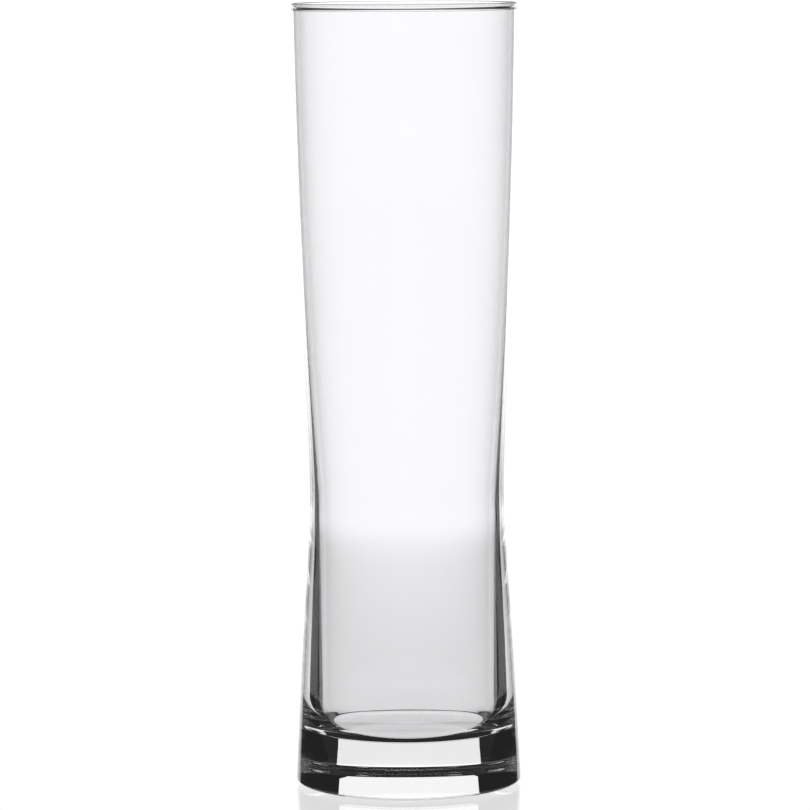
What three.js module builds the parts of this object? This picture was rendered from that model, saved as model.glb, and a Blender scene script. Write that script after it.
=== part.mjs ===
import * as THREE from 'three';

// Tall waisted tumbler: one piece of clear soda-lime glass.
// Millimetres, +Z up, origin at the centre of the resting plane under the foot.

// Outside of the wall
const HEIGHT = 200;
const RIM_RADIUS = 28.72;
const WAIST_HEIGHT = 75.9;
const WAIST_RADIUS = 24.91;
const FOOT_RADIUS = 28.8;
const HEEL_HEIGHT = 1.5;
const HEEL_WIDTH = 5.4;

// Rim: a melted, fully rounded bead on a thinner wall
const RIM_BEAD = 0.95;
const RIM_WALL = 0.7;
const BEAD_HEIGHT = 2;

// Inside of the wall
const CAVITY_WAIST_HEIGHT = 70.4;
const CAVITY_WAIST_RADIUS = 22.76;
const CAVITY_FOOT_RADIUS = 23.02;

// Corner between the inner wall and the flat floor, which it meets at an angle
const FLOOR_RADIUS = 20.3;
const CORNER_HEIGHT = 9;
const CORNER_ANGLE_DEGREES = 55;
const FLOOR_SOFTNESS = 0.5;

// Solid foot and its underside
const FOOT_THICKNESS = 14.05;
const RESTING_RING_WIDTH = 2.3;
const UNDERSIDE_RISE = 0.1;

// How far each wall leans, as radius per height
const FOOT_LEAN = 0.046;
const RIM_LEAN = 0.0153;

// Share of a wall's height that each of its ends bends: lower end, upper end
const OUTER_FOOT_REACH = [0.85, 0.232];
const OUTER_BODY_REACH = [0.154, 0.536];
const INNER_FOOT_REACH = [0.122, 0.15];
const INNER_BODY_REACH = [0.115, 0.612];
const BEAD_REACH = [0.4, 0.4];
const CORNER_WALL_REACH = 0.7;
const CORNER_FLOOR_REACH = 0.5;

// Facets
const SEGMENTS_AROUND = 60;
const WALL_STEPS = 8;
const ROUND_STEPS = 4;
const RIM_STEPS = 6;
const SOFT_STEPS = 2;

const point = (radius, height) => new THREE.Vector2(radius, height);

// A wall curve between two points, with its slope (radius per height) and reach at either end.
function wallCurve(lower, upper, [lowerSlope, upperSlope], [lowerShare, upperShare]) {
  const lowerReach = lowerShare * (upper.y - lower.y);
  const upperReach = upperShare * (upper.y - lower.y);
  return new THREE.CubicBezierCurve(
    lower,
    point(lower.x + lowerSlope * lowerReach, lower.y + lowerReach),
    point(upper.x - upperSlope * upperReach, upper.y - upperReach),
    upper,
  );
}

// A round or oval from one angle to another, in degrees from the outward radius towards +Z.
function roundCurve(centre, width, height, fromDegrees, toDegrees) {
  const from = THREE.MathUtils.degToRad(fromDegrees);
  const to = THREE.MathUtils.degToRad(toDegrees);
  return new THREE.EllipseCurve(centre.x, centre.y, width, height, from, to, to < from);
}

// Outside, from the heel up to the rim
const heelCentre = point(FOOT_RADIUS - HEEL_WIDTH, HEEL_HEIGHT);
const footSide = point(FOOT_RADIUS, HEEL_HEIGHT);
const waist = point(WAIST_RADIUS, WAIST_HEIGHT);
const bead = RIM_BEAD / 2;
const rimCentre = point(RIM_RADIUS - bead, HEIGHT - bead);
const outerWall = [
  wallCurve(footSide, waist, [-FOOT_LEAN, 0], OUTER_FOOT_REACH),
  wallCurve(waist, point(RIM_RADIUS, rimCentre.y), [0, RIM_LEAN], OUTER_BODY_REACH),
];

// Inside, from the floor's corner up to the foot of the bead
const cavityFoot = point(CAVITY_FOOT_RADIUS, FOOT_THICKNESS + CORNER_HEIGHT);
const cavityWaist = point(CAVITY_WAIST_RADIUS, CAVITY_WAIST_HEIGHT);
const beadFoot = point(RIM_RADIUS - RIM_WALL, HEIGHT - BEAD_HEIGHT);
const innerWall = [
  wallCurve(cavityFoot, cavityWaist, [0, 0], INNER_FOOT_REACH),
  wallCurve(cavityWaist, beadFoot, [0, RIM_LEAN], INNER_BODY_REACH),
];
const beadCurve = wallCurve(beadFoot, point(RIM_RADIUS - RIM_BEAD, rimCentre.y), [RIM_LEAN, 0], BEAD_REACH);

// Corner, from the inner wall down to the floor
const cornerAngle = THREE.MathUtils.degToRad(CORNER_ANGLE_DEGREES);
const floorEdge = point(FLOOR_RADIUS, FOOT_THICKNESS);
const uphill = (distance) => point(
  floorEdge.x + distance * Math.cos(cornerAngle),
  floorEdge.y + distance * Math.sin(cornerAngle),
);
const cornerSlope = new THREE.CubicBezierCurve(
  cavityFoot,
  point(cavityFoot.x, cavityFoot.y - CORNER_WALL_REACH * CORNER_HEIGHT),
  uphill(CORNER_FLOOR_REACH * (CAVITY_FOOT_RADIUS - FLOOR_RADIUS)),
  uphill(FLOOR_SOFTNESS),
);
const softEdge = new THREE.QuadraticBezierCurve(
  uphill(FLOOR_SOFTNESS),
  floorEdge,
  point(FLOOR_RADIUS - FLOOR_SOFTNESS, FOOT_THICKNESS),
);

// Underside: a flat resting ring round a shallow dome, so that the foot stands on its edge
const ringOuter = heelCentre.x;
const ringInner = ringOuter - RESTING_RING_WIDTH;
const domeRadius = (ringInner ** 2 + UNDERSIDE_RISE ** 2) / (2 * UNDERSIDE_RISE);
const domeHalfAngle = THREE.MathUtils.radToDeg(Math.asin(ringInner / domeRadius));
const dome = roundCurve(point(0, UNDERSIDE_RISE - domeRadius), domeRadius, domeRadius, 90, 90 - domeHalfAngle);

const pointsUp = (curves, steps) => curves.flatMap((curve) => curve.getPoints(steps));
const pointsDown = (curves, steps) => pointsUp(curves, steps).reverse();

// The half section, from the axis under the foot, round the outside and back to the axis in the cavity
const halfSection = [
  ...dome.getPoints(ROUND_STEPS),
  ...roundCurve(heelCentre, HEEL_WIDTH, HEEL_HEIGHT, -90, 0).getPoints(ROUND_STEPS),
  ...pointsUp(outerWall, WALL_STEPS),
  ...roundCurve(rimCentre, bead, bead, 0, 180).getPoints(RIM_STEPS),
  ...pointsDown([beadCurve], SOFT_STEPS),
  ...pointsDown(innerWall, WALL_STEPS),
  ...cornerSlope.getPoints(WALL_STEPS),
  ...softEdge.getPoints(SOFT_STEPS),
  point(0, FOOT_THICKNESS),
];

// Curves that meet give the same point twice, and a ring of no height is no facet.
const MERGE_DISTANCE = 1e-4;
const section = halfSection.filter(
  (corner, index) => index === 0 || corner.distanceTo(halfSection[index - 1]) > MERGE_DISTANCE,
);
section[0].x = 0;

function glassBody() {
  const geometry = new THREE.LatheGeometry(section, SEGMENTS_AROUND);
  geometry.rotateX(Math.PI / 2);
  const clearGlass = new THREE.MeshStandardMaterial({
    color: 0xf4f7f8,
    roughness: 0.03,
    metalness: 0,
    transparent: true,
    opacity: 0.35,
  });
  const body = new THREE.Mesh(geometry, clearGlass);
  body.name = 'glass_body';
  return body;
}

const tumbler = new THREE.Group();
tumbler.name = 'waisted_tumbler';
tumbler.add(glassBody());

export default tumbler;
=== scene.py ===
import math

import bpy
from bpy.props import FloatProperty, FloatVectorProperty, IntProperty, PointerProperty
from mathutils import Matrix, Vector


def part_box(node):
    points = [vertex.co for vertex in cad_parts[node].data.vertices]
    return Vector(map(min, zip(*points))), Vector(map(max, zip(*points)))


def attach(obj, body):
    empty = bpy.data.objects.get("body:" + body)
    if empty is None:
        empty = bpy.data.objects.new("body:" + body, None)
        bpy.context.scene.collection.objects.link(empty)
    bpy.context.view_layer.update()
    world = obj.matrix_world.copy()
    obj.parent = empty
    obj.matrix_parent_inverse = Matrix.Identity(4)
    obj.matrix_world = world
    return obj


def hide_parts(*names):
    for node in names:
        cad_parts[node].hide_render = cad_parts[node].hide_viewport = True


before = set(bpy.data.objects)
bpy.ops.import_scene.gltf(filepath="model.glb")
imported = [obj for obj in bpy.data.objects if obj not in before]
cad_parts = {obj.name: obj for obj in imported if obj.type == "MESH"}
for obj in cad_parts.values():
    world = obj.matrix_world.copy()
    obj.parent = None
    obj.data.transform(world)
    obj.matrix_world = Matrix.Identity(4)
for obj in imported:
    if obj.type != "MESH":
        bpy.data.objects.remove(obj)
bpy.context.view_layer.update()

bl_info = {
    "name": "Waisted Tumbler",
    "version": (1, 0, 0),
    "blender": (4, 5, 0),
    "location": "View3D > Sidebar > Tumbler",
    "description": "Builds a tall waisted tumbler of clear glass and the lit studio that it stands in",
    "category": "Add Mesh",
}

MM = 0.001
FLAT_MARGIN = 0.3 * MM  # a narrow face round the floor, which keeps the shading of its middle flat
SOFT_EDGE_STEPS = 8
WELD_DISTANCE = 0.001 * MM
CARD_SIDES = 96
CARD_DROP = 0.05 * MM  # keeps the card clear of the resting ring
TABLE_REACH = 3.0  # metres, from the glass to each edge
SENSOR_WIDTH = 36  # millimetres
LIGHT_BOUNCES = 512  # light runs far round inside a glass wall before it comes out
GLASS_NODE = "glass_body"
GLASS_BODY = "root"

cad_low, cad_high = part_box(GLASS_NODE)


# Settings shown in the sidebar


def linear(hex_colour):
    """An sRGB colour written as six hex digits, as the linear values that shaders take."""
    values = [int(hex_colour[i:i + 2], 16) / 255 for i in (0, 2, 4)]
    return [v / 12.92 if v <= 0.04045 else ((v + 0.055) / 1.055) ** 2.4 for v in values]


def length(name, millimetres, description):
    """A length in the sidebar, given in millimetres and kept in metres."""
    default = millimetres * MM
    return FloatProperty(
        name=name, description=description, default=default, subtype="DISTANCE", unit="LENGTH", precision=5
    )


def angle(name, degrees, description):
    """An angle in the sidebar, given in degrees and kept in radians."""
    return FloatProperty(
        name=name, description=description, default=math.radians(degrees), subtype="ANGLE", unit="ROTATION"
    )


def factor(name, value, description):
    """A plain number in the sidebar."""
    return FloatProperty(name=name, description=description, default=value, precision=4)


def colour(name, hex_colour, description):
    """A colour in the sidebar, given as sRGB hex digits."""
    return FloatVectorProperty(
        name=name, description=description, default=linear(hex_colour), subtype="COLOR", size=3, min=0, max=1
    )


class TumblerSizes(bpy.types.PropertyGroup):
    """The half section of the glass, from which the whole body is turned."""

    height: length("Height", cad_high.z / MM, "Resting plane to the top of the rim")
    rim_radius: length("Rim radius", 28.72, "Outside of the wall at the rim")
    rim_lean: factor("Rim lean", 0.0153, "How fast the wall still widens at the rim, as radius per height")
    rim_bead: length("Rim bead", 0.95, "Thickness of the melted rim, which is fully rounded")
    rim_wall: length("Rim wall", 0.7, "Wall under the bead")
    bead_height: length("Bead height", 2, "From the top of the rim to the foot of the bead")
    bead_reach: factor("Bead reach", 0.4, "Share of the wall under the bead that each of its ends bends")
    waist_height: length("Waist height", 75.9, "Height of the narrowest place outside")
    waist_radius: length("Waist radius", 24.91, "Outside of the wall at the waist")
    foot_radius: length("Foot radius", 28.8, "Outside of the foot above the heel")
    foot_lean: factor("Foot lean", 0.046, "How fast the side of the foot draws in, as radius per height")
    heel_height: length("Heel height", 1.5, "Of the round between the side of the foot and the table")
    heel_width: length("Heel width", 5.4, "Of that round, which is much wider than it is high")
    foot_reach: factor("Foot reach", 0.85, "Share of the lower wall that the foot's slope bends")
    waist_reach_below: factor("Waist reach below", 0.232, "Share of the lower wall that the waist bends")
    waist_reach_above: factor("Waist reach above", 0.154, "Share of the upper wall that the waist bends")
    rim_reach: factor("Rim reach", 0.536, "Share of the upper wall that the rim's slope bends")
    cavity_waist_height: length("Cavity waist height", 70.4, "Height of the narrowest place inside")
    cavity_waist_radius: length("Cavity waist radius", 22.76, "Inside of the wall at its narrowest")
    cavity_foot_radius: length("Cavity foot radius", 23.02, "Inside of the wall above the floor's corner")
    floor_radius: length("Floor radius", 20.3, "Edge of the cavity's flat floor")
    corner_height: length("Corner height", 9, "Of the sloping corner between the floor and the inner wall")
    corner_angle: angle("Corner angle", 55, "At which the corner rises from the floor")
    corner_wall_reach: factor("Corner wall reach", 0.7, "Share of the corner's height that the wall bends")
    corner_floor_reach: factor("Corner floor reach", 0.5, "Share of its width that stays at that angle")
    floor_softness: length("Floor softness", 0.5, "Size of the soft edge between the floor and the corner")
    cavity_foot_reach: factor("Cavity foot reach", 0.122, "Share of the lower inner wall that its foot bends")
    cavity_reach_below: factor("Cavity reach below", 0.15, "Share of the lower inner wall its waist bends")
    cavity_reach_above: factor("Cavity reach above", 0.115, "Share of the upper inner wall its waist bends")
    cavity_rim_reach: factor("Cavity rim reach", 0.612, "Share of the upper inner wall that the rim bends")
    foot_thickness: length("Foot thickness", 14.05, "Solid glass under the cavity")
    ring_width: length("Resting ring width", 2.3, "Flat ring that touches the table, inside the heel")
    underside_rise: length("Underside rise", 0.1, "Height of the shallow dome inside the ring")
    segments: IntProperty(name="Segments around", description="Faces round the axis", default=360, min=12)
    wall_steps: IntProperty(name="Wall steps", description="Faces along each wall curve", default=42, min=4)
    round_steps: IntProperty(name="Round steps", description="Faces along each round", default=16, min=3)


class GlassFinish(bpy.types.PropertyGroup):
    """Colour and surface of the glass."""

    tint: colour("Tint", "F7F7F8", "Colour that light keeps when it crosses a wall")
    refraction: factor("Refractive index", 1.52, "Soda-lime glass has 1.51 to 1.52")
    ripple_size: length("Ripple size", 14, "Width of the soft ripples that the mould and the flame leave")
    ripple_depth: length("Ripple depth", 0.006, "Height of those ripples")


class StudioSettings(bpy.types.PropertyGroup):
    """Camera, lit wall, table and room."""

    camera_distance: length("Camera distance", 1120, "Along the table, from the axis of the glass")
    camera_height: length("Camera height", 219.4, "Above the table")
    camera_tilt: angle("Camera tilt", 6.206, "Downwards")
    camera_roll: angle("Camera roll", 0.38, "The photograph's glass leans a little to the left")
    camera_turn: angle("Camera turn", -0.018, "Sideways, towards the right of the glass")
    lens: FloatProperty(name="Lens", description="Focal length on a 36 mm sensor, in mm", default=196.12)
    wall_distance: length("Lit wall distance", 2326, "From the camera, with the glass between them")
    wall_half_width: length("Lit wall half width", 645, "From its middle to either side")
    wall_top: length("Lit wall top", 360, "Above its middle")
    wall_bottom: length("Lit wall bottom", -2600, "Above its middle")
    wall_light: factor("Lit wall light", 1.3, "Radiance of the wall's brightest part, at the glass's height")
    low_light: factor("Low light", 0.955, "Radiance of the wall below that part")
    high_light: factor("High light", 1.07, "Radiance of the wall above that part")
    low_fade_end: length("Low fade end", -210, "Where the low light is reached, above the wall's middle")
    low_fade_start: length("Low fade start", -110, "Where the light begins to fade downwards")
    high_fade_start: length("High fade start", 232, "Where the light begins to fade upwards")
    high_fade_end: length("High fade end", 262, "Where the high light is reached")
    card_radius: length("Card radius", 21, "White card under the foot, which lights the cavity's floor")
    card_light: factor("Card light", 0.94, "Radiance of that card")
    table_light: factor("Table light", 1.01, "Radiance of the table's white, without its reflection")
    table_sheen: factor("Table sheen", 0.3, "Share of the table's look that is a reflection")
    table_roughness: factor("Table roughness", 0.08, "Of its glaze, which blurs that reflection")
    surround_light: factor("Surround light", 0.0205, "Radiance of the dark room round the lit wall")
    side_light: factor("Side light", 0.14, "Radiance of the dim side walls of the room")
    side_low: angle("Side walls' low edge", -7, "Elevation at which they end below")
    side_high: angle("Side walls' high edge", 9, "Elevation at which they end above")


# The half section of the glass


def bent_curve(start, start_pull, end_pull, end, steps):
    """Points along a cubic curve, with the two points that pull at its ends."""
    points = []
    for step in range(steps + 1):
        t = step / steps
        s = 1 - t
        points.append(s ** 3 * start + 3 * s * s * t * start_pull + 3 * s * t * t * end_pull + t ** 3 * end)
    return points


def wall_curve(lower, upper, slopes, reaches, steps):
    """Points up a wall between two points, with its slope (radius per height) and reach at either end."""
    low_reach, high_reach = (share * (upper.y - lower.y) for share in reaches)
    lower_pull = Vector((lower.x + slopes[0] * low_reach, lower.y + low_reach))
    upper_pull = Vector((upper.x - slopes[1] * high_reach, upper.y - high_reach))
    return bent_curve(lower, lower_pull, upper_pull, upper, steps)


def round_curve(centre, width, height, from_degrees, to_degrees, steps):
    """Points along a round or oval, with angles from the outward radius towards the rim."""
    points = []
    for step in range(steps + 1):
        turn = math.radians(from_degrees + (to_degrees - from_degrees) * step / steps)
        points.append(centre + Vector((width * math.cos(turn), height * math.sin(turn))))
    return points


def outer_wall(sizes):
    """Points from the top of the heel, past the waist, to the foot of the rim's round."""
    foot_side = Vector((sizes.foot_radius, sizes.heel_height))
    waist = Vector((sizes.waist_radius, sizes.waist_height))
    rim_side = Vector((sizes.rim_radius, sizes.height - sizes.rim_bead / 2))
    foot_reaches = sizes.foot_reach, sizes.waist_reach_below
    body_reaches = sizes.waist_reach_above, sizes.rim_reach
    return (
        wall_curve(foot_side, waist, (-sizes.foot_lean, 0), foot_reaches, sizes.wall_steps)
        + wall_curve(waist, rim_side, (0, sizes.rim_lean), body_reaches, sizes.wall_steps)
    )


def inner_wall(sizes):
    """Points from the top of the cavity's corner, past the bead's foot, to the rim's round."""
    foot_side = Vector((sizes.cavity_foot_radius, sizes.foot_thickness + sizes.corner_height))
    waist = Vector((sizes.cavity_waist_radius, sizes.cavity_waist_height))
    bead_foot = Vector((sizes.rim_radius - sizes.rim_wall, sizes.height - sizes.bead_height))
    bead_side = Vector((sizes.rim_radius - sizes.rim_bead, sizes.height - sizes.rim_bead / 2))
    foot_reaches = sizes.cavity_foot_reach, sizes.cavity_reach_below
    body_reaches = sizes.cavity_reach_above, sizes.cavity_rim_reach
    bead_reaches = sizes.bead_reach, sizes.bead_reach
    return (
        wall_curve(foot_side, waist, (0, 0), foot_reaches, sizes.wall_steps)
        + wall_curve(waist, bead_foot, (0, sizes.rim_lean), body_reaches, sizes.wall_steps)
        + wall_curve(bead_foot, bead_side, (sizes.rim_lean, 0), bead_reaches, sizes.round_steps)
    )


def cavity_corner(sizes):
    """Points from the inner wall down the sloping corner and over its soft edge to the floor."""
    wall_end = Vector((sizes.cavity_foot_radius, sizes.foot_thickness + sizes.corner_height))
    wall_pull = wall_end - Vector((0, sizes.corner_wall_reach * sizes.corner_height))
    floor_edge = Vector((sizes.floor_radius, sizes.foot_thickness))
    uphill = Vector((math.cos(sizes.corner_angle), math.sin(sizes.corner_angle)))
    corner_width = sizes.cavity_foot_radius - sizes.floor_radius
    slope_pull = floor_edge + sizes.corner_floor_reach * corner_width * uphill
    slope_end = floor_edge + sizes.floor_softness * uphill
    flat_start = floor_edge - Vector((sizes.floor_softness, 0))
    soft_pulls = slope_end.lerp(floor_edge, 2 / 3), flat_start.lerp(floor_edge, 2 / 3)
    return (
        bent_curve(wall_end, wall_pull, slope_pull, slope_end, 2 * sizes.round_steps)
        + bent_curve(slope_end, *soft_pulls, flat_start, SOFT_EDGE_STEPS)
    )


def underside(sizes):
    """Points from the axis over the shallow dome to the outer edge of the resting ring."""
    ring_outer = sizes.foot_radius - sizes.heel_width
    ring_inner = ring_outer - sizes.ring_width
    dome_radius = (ring_inner ** 2 + sizes.underside_rise ** 2) / (2 * sizes.underside_rise)
    half_angle = math.degrees(math.asin(ring_inner / dome_radius))
    centre = Vector((0, sizes.underside_rise - dome_radius))
    dome = round_curve(centre, dome_radius, dome_radius, 90, 90 - half_angle, sizes.round_steps)
    return dome + [Vector((ring_outer, 0))]


def half_section(sizes):
    """Points from the axis under the foot, round the outside and back to the axis in the cavity."""
    steps = sizes.round_steps
    heel_centre = Vector((sizes.foot_radius - sizes.heel_width, sizes.heel_height))
    bead = sizes.rim_bead / 2
    rim_centre = Vector((sizes.rim_radius - bead, sizes.height - bead))
    flat_edge = sizes.floor_radius - sizes.floor_softness
    floor = [Vector((radius, sizes.foot_thickness)) for radius in (flat_edge - FLAT_MARGIN, 0)]
    return (
        underside(sizes)
        + round_curve(heel_centre, sizes.heel_width, sizes.heel_height, -90, 0, steps)
        + outer_wall(sizes)
        + round_curve(rim_centre, bead, bead, 0, 180, steps)
        + inner_wall(sizes)[::-1]
        + cavity_corner(sizes)
        + floor
    )


# Nodes


def add_node(tree, kind, settings=None, inputs=None):
    """Adds a node, sets its properties and fills its inputs with values or with links from sockets."""
    node = tree.nodes.new(kind)
    for name, value in (settings or {}).items():
        setattr(node, name, value)
    for key, value in (inputs or {}).items():
        if isinstance(value, bpy.types.NodeSocket):
            tree.links.new(value, node.inputs[key])
        else:
            node.inputs[key].default_value = value
    return node


def calculate(tree, operation, first, second=0.0):
    """The socket of a Math node."""
    return add_node(tree, "ShaderNodeMath", {"operation": operation}, {0: first, 1: second}).outputs[0]


def turning_tree():
    """Geometry nodes that turn a half section, given as a row of points, into a closed body."""
    tree = bpy.data.node_groups.new("turn_half_section", "GeometryNodeTree")
    for name, kind in (
        ("Half Section", "NodeSocketGeometry"),
        ("Segments Around", "NodeSocketInt"),
        ("Weld Distance", "NodeSocketFloat"),
        ("Glass", "NodeSocketMaterial"),
    ):
        tree.interface.new_socket(name, in_out="INPUT", socket_type=kind)
    tree.interface.new_socket("Body", in_out="OUTPUT", socket_type="NodeSocketGeometry")
    given = add_node(tree, "NodeGroupInput").outputs
    section, segments = given["Half Section"], given["Segments Around"]

    rows = add_node(
        tree, "GeometryNodeAttributeDomainSize", {"component": "MESH"}, {"Geometry": section}
    ).outputs["Point Count"]
    columns = calculate(tree, "ADD", segments, 1.0)
    grid = add_node(tree, "GeometryNodeMeshGrid", None, {"Vertices X": columns, "Vertices Y": rows})
    index = add_node(tree, "GeometryNodeInputIndex").outputs[0]
    column = calculate(tree, "FLOOR", calculate(tree, "DIVIDE", index, rows))
    row = calculate(tree, "SUBTRACT", index, calculate(tree, "MULTIPLY", column, rows))
    section_point = add_node(
        tree,
        "GeometryNodeSampleIndex",
        {"data_type": "FLOAT_VECTOR", "domain": "POINT"},
        {"Geometry": section, "Value": add_node(tree, "GeometryNodeInputPosition").outputs[0], "Index": row},
    )
    turn = calculate(tree, "MULTIPLY", calculate(tree, "DIVIDE", column, segments), math.tau)
    turned = add_node(
        tree,
        "ShaderNodeVectorRotate",
        {"rotation_type": "Z_AXIS"},
        {"Vector": section_point.outputs[0], "Angle": turn},
    )
    placed = add_node(
        tree,
        "GeometryNodeSetPosition",
        None,
        {"Geometry": grid.outputs["Mesh"], "Position": turned.outputs[0]},
    )
    welded = add_node(
        tree,
        "GeometryNodeMergeByDistance",
        None,
        {"Geometry": placed.outputs[0], "Distance": given["Weld Distance"]},
    )
    smooth = add_node(tree, "GeometryNodeSetShadeSmooth", None, {"Geometry": welded.outputs[0]})
    real = add_node(tree, "GeometryNodeRealizeInstances", None, {"Geometry": smooth.outputs[0]})
    glazed = add_node(
        tree, "GeometryNodeSetMaterial", None, {"Geometry": real.outputs[0], "Material": given["Glass"]}
    )
    add_node(tree, "NodeGroupOutput", None, {"Body": glazed.outputs[0]})
    return tree


def set_input(modifier, name, value):
    """Sets a modifier's input by the identifier of the socket that has this name."""
    for item in modifier.node_group.interface.items_tree:
        if item.name == name and item.in_out == "INPUT":
            modifier[item.identifier] = value


# Materials


def new_material(name):
    """An empty node material and its output node."""
    material = bpy.data.materials.new(name)
    material.use_nodes = True
    material.node_tree.nodes.clear()
    return material, add_node(material.node_tree, "ShaderNodeOutputMaterial")


def clear_soda_lime_glass(finish):
    """Soda-lime glass, blown into a polished mould and melted smooth in a flame.

    The flame leaves a bright skin without any grain, so every edge that shows through the glass is sharp.
    The mould and the flame leave ripples too shallow to see, which bend those edges a very little.
    """
    material, output = new_material("clear_soda_lime_glass")
    tree = material.node_tree
    place = add_node(tree, "ShaderNodeTexCoord").outputs["Object"]
    waves = {"Vector": place, "Scale": 1 / finish.ripple_size, "Detail": 0.0}
    ripples = add_node(tree, "ShaderNodeTexNoise", None, waves).outputs["Fac"]
    skin = add_node(tree, "ShaderNodeBump", None, {"Height": ripples, "Distance": finish.ripple_depth})
    glass = add_node(
        tree,
        "ShaderNodeBsdfPrincipled",
        None,
        {
            "Base Color": [*finish.tint, 1],
            "Roughness": 0.0,
            "IOR": finish.refraction,
            "Transmission Weight": 1.0,
            "Normal": skin.outputs[0],
        },
    )
    tree.links.new(glass.outputs[0], output.inputs["Surface"])
    return material


def soft_step(tree, value, start, end, low, high):
    """The socket of a Map Range node that goes smoothly from low at start to high at end."""
    settings = {"interpolation_type": "SMOOTHSTEP"}
    inputs = {0: value, 1: start, 2: end, 3: low, 4: high}
    return add_node(tree, "ShaderNodeMapRange", settings, inputs).outputs[0]


def lit_wall(studio):
    """A matt white wall with a wide pool of light on it, brightest at the glass's height.

    The light fades softly below, which gives the foot of the cavity its grey.
    """
    material, output = new_material("lit_matt_white_wall")
    tree = material.node_tree
    place = add_node(tree, "ShaderNodeTexCoord").outputs["Object"]
    height = add_node(tree, "ShaderNodeSeparateXYZ", None, {0: place}).outputs["Y"]
    low_share = studio.low_light / studio.wall_light
    high_share = studio.high_light / studio.wall_light
    low = soft_step(tree, height, studio.low_fade_end, studio.low_fade_start, low_share, 1)
    high = soft_step(tree, height, studio.high_fade_start, studio.high_fade_end, 1, high_share)
    light = calculate(tree, "MULTIPLY", calculate(tree, "MULTIPLY", low, high), studio.wall_light)
    emission = add_node(tree, "ShaderNodeEmission", None, {"Strength": light})
    tree.links.new(emission.outputs[0], output.inputs["Surface"])
    return material


def white_card(studio):
    """White card, lit a little less than the table."""
    material, output = new_material("white_card")
    emission = add_node(material.node_tree, "ShaderNodeEmission", None, {"Strength": studio.card_light})
    material.node_tree.links.new(emission.outputs[0], output.inputs["Surface"])
    return material


def glazed_white_table(studio):
    """White glazed board, so well lit that it has no shadow and reflects the glass only faintly."""
    material, output = new_material("glazed_white_board")
    tree = material.node_tree
    white = add_node(tree, "ShaderNodeEmission", None, {"Strength": studio.table_light})
    glaze = {"Color": [1, 1, 1, 1], "Roughness": studio.table_roughness}
    sheen = add_node(tree, "ShaderNodeBsdfAnisotropic", None, glaze)
    faint = add_node(
        tree, "ShaderNodeMixShader", None, {0: studio.table_sheen, 1: white.outputs[0], 2: sheen.outputs[0]}
    )
    tree.links.new(faint.outputs[0], output.inputs["Surface"])
    return material


# Operators


class TUMBLER_OT_glass_body(bpy.types.Operator):
    """Turns the glass from its half section"""

    bl_idname = "tumbler.glass_body"
    bl_label = "Glass body"

    def execute(self, context):
        sizes = context.scene.tumbler_sizes
        points = [(p.x, 0, p.y) for p in half_section(sizes)]
        section = bpy.data.meshes.new("half_section")
        section.from_pydata(points, [(i, i + 1) for i in range(len(points) - 1)], [])
        body = bpy.data.objects.new("tumbler_glass", section)
        context.scene.collection.objects.link(body)

        glass = clear_soda_lime_glass(context.scene.tumbler_finish)
        modifier = body.modifiers.new("turning", "NODES")
        modifier.node_group = turning_tree()
        set_input(modifier, "Segments Around", sizes.segments)
        set_input(modifier, "Weld Distance", WELD_DISTANCE)
        set_input(modifier, "Glass", glass)
        depsgraph = context.evaluated_depsgraph_get()
        turned = bpy.data.meshes.new_from_object(body.evaluated_get(depsgraph), depsgraph=depsgraph)
        turned.name = "tumbler_glass"
        body.modifiers.remove(modifier)
        body.data = turned
        bpy.data.meshes.remove(section)

        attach(body, GLASS_BODY)
        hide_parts(GLASS_NODE)
        return {"FINISHED"}


def add_camera(scene, studio):
    """The photograph's view: a long lens a little above the rim's height, looking slightly down."""
    lens = bpy.data.cameras.new("studio_camera")
    lens.lens = studio.lens
    lens.sensor_width = SENSOR_WIDTH
    camera = bpy.data.objects.new("studio_camera", lens)
    scene.collection.objects.link(camera)
    place = Matrix.Translation((0, -studio.camera_distance, studio.camera_height))
    turn = Matrix.Rotation(-studio.camera_turn, 4, "Z")
    tilt = Matrix.Rotation(math.pi / 2 - studio.camera_tilt, 4, "X")
    roll = Matrix.Rotation(-studio.camera_roll, 4, "Z")
    camera.matrix_world = place @ turn @ tilt @ roll
    scene.camera = camera
    return camera


def add_sheet(scene, name, corners, material):
    """A flat stage piece."""
    mesh = bpy.data.meshes.new(name)
    mesh.from_pydata(corners, [], [range(len(corners))])
    mesh.materials.append(material)
    sheet = bpy.data.objects.new(name, mesh)
    scene.collection.objects.link(sheet)
    return sheet


def add_lit_wall(scene, studio, camera):
    """The wall behind the glass, square to the line of sight. It goes round with the camera.

    It ends a little above the frame, because the rim's bead shows the dark above it as a thin black line.
    """
    half, away = studio.wall_half_width, -studio.wall_distance
    bottom, top = studio.wall_bottom, studio.wall_top
    corners = [(-half, bottom, away), (half, bottom, away), (half, top, away), (-half, top, away)]
    wall = add_sheet(scene, "lit_wall", corners, lit_wall(studio))
    wall.parent = camera


def add_card(scene, studio):
    """The card under the foot, which only the glass shows."""
    radius = studio.card_radius
    turns = [math.tau * side / CARD_SIDES for side in range(CARD_SIDES)]
    corners = [(radius * math.cos(turn), radius * math.sin(turn), -CARD_DROP) for turn in turns]
    card = add_sheet(scene, "white_card", corners, white_card(studio))
    card.visible_camera = False
    card.visible_glossy = False
    card.visible_diffuse = False
    card.visible_shadow = False


def add_table(scene, studio):
    """The table, which is left out of what the glass shows, so that no horizon crosses it."""
    reach = TABLE_REACH
    corners = [(-reach, -reach, 0), (reach, -reach, 0), (reach, reach, 0), (-reach, reach, 0)]
    table = add_sheet(scene, "table_top", corners, glazed_white_table(studio))
    table.visible_transmission = False
    table.visible_glossy = False
    table.visible_diffuse = False
    table.visible_shadow = False


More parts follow.
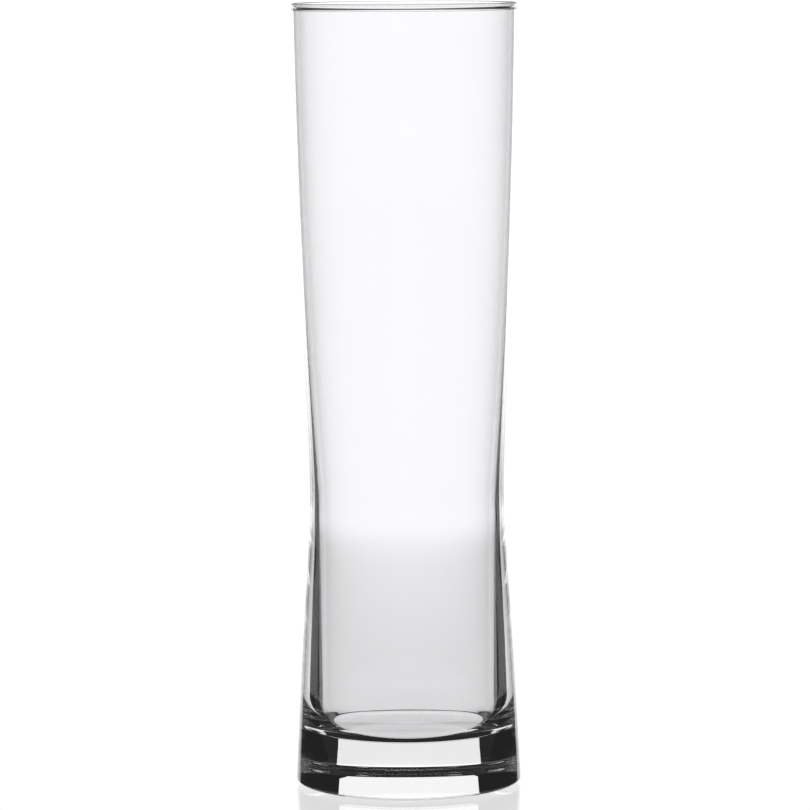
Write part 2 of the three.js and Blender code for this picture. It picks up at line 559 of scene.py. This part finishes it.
def add_dark_room(scene, studio):
    """A dark room, whose black outlines the thick edges of clear glass, with dim walls at eye level."""
    world = bpy.data.worlds.new("dark_room")
    world.use_nodes = True
    tree = world.node_tree
    tree.nodes.clear()
    direction = add_node(tree, "ShaderNodeTexCoord").outputs["Generated"]
    rise = add_node(tree, "ShaderNodeSeparateXYZ", None, {0: direction}).outputs["Z"]
    low, high = math.sin(studio.side_low), math.sin(studio.side_high)
    above = add_node(tree, "ShaderNodeMath", {"operation": "GREATER_THAN"}, {0: rise, 1: low}).outputs[0]
    below = add_node(tree, "ShaderNodeMath", {"operation": "LESS_THAN"}, {0: rise, 1: high}).outputs[0]
    wall = calculate(tree, "MULTIPLY", calculate(tree, "MULTIPLY", above, below), studio.side_light)
    strength = calculate(tree, "ADD", wall, studio.surround_light)
    dark = add_node(tree, "ShaderNodeBackground", None, {"Strength": strength})
    add_node(tree, "ShaderNodeOutputWorld", None, {"Surface": dark.outputs[0]})
    scene.world = world


class TUMBLER_OT_studio(bpy.types.Operator):
    """Sets up the camera, the lit wall behind the glass, the table, the card and the dark room"""

    bl_idname = "tumbler.studio"
    bl_label = "Studio"

    def execute(self, context):
        scene, studio = context.scene, context.scene.tumbler_studio
        camera = add_camera(scene, studio)
        add_lit_wall(scene, studio, camera)
        add_table(scene, studio)
        add_card(scene, studio)
        add_dark_room(scene, studio)
        scene.view_settings.view_transform = "Standard"
        scene.cycles.max_bounces = LIGHT_BOUNCES
        scene.cycles.transmission_bounces = LIGHT_BOUNCES
        scene.cycles.glossy_bounces = LIGHT_BOUNCES
        return {"FINISHED"}


class TUMBLER_PT_sidebar(bpy.types.Panel):
    """Lists the pieces and their settings"""

    bl_label = "Waisted Tumbler"
    bl_space_type = "VIEW_3D"
    bl_region_type = "UI"
    bl_category = "Tumbler"

    def draw(self, context):
        scene = context.scene
        for operator, groups in (
            (TUMBLER_OT_glass_body, (scene.tumbler_sizes, scene.tumbler_finish)),
            (TUMBLER_OT_studio, (scene.tumbler_studio,)),
        ):
            self.layout.operator(operator.bl_idname)
            for settings in groups:
                for name in settings.__annotations__:
                    self.layout.prop(settings, name)


SETTINGS = {"tumbler_sizes": TumblerSizes, "tumbler_finish": GlassFinish, "tumbler_studio": StudioSettings}
CLASSES = (*SETTINGS.values(), TUMBLER_OT_glass_body, TUMBLER_OT_studio, TUMBLER_PT_sidebar)


def register():
    """Adds the settings, operators and panel."""
    for made in CLASSES:
        bpy.utils.register_class(made)
    for name, group in SETTINGS.items():
        setattr(bpy.types.Scene, name, PointerProperty(type=group))


def unregister():
    """Takes them away again."""
    for name in SETTINGS:
        delattr(bpy.types.Scene, name)
    for made in reversed(CLASSES):
        bpy.utils.unregister_class(made)


def main():
    """Builds the glass and its studio."""
    register()
    bpy.ops.tumbler.glass_body()
    bpy.ops.tumbler.studio()


if __name__ == "__main__":
    main()
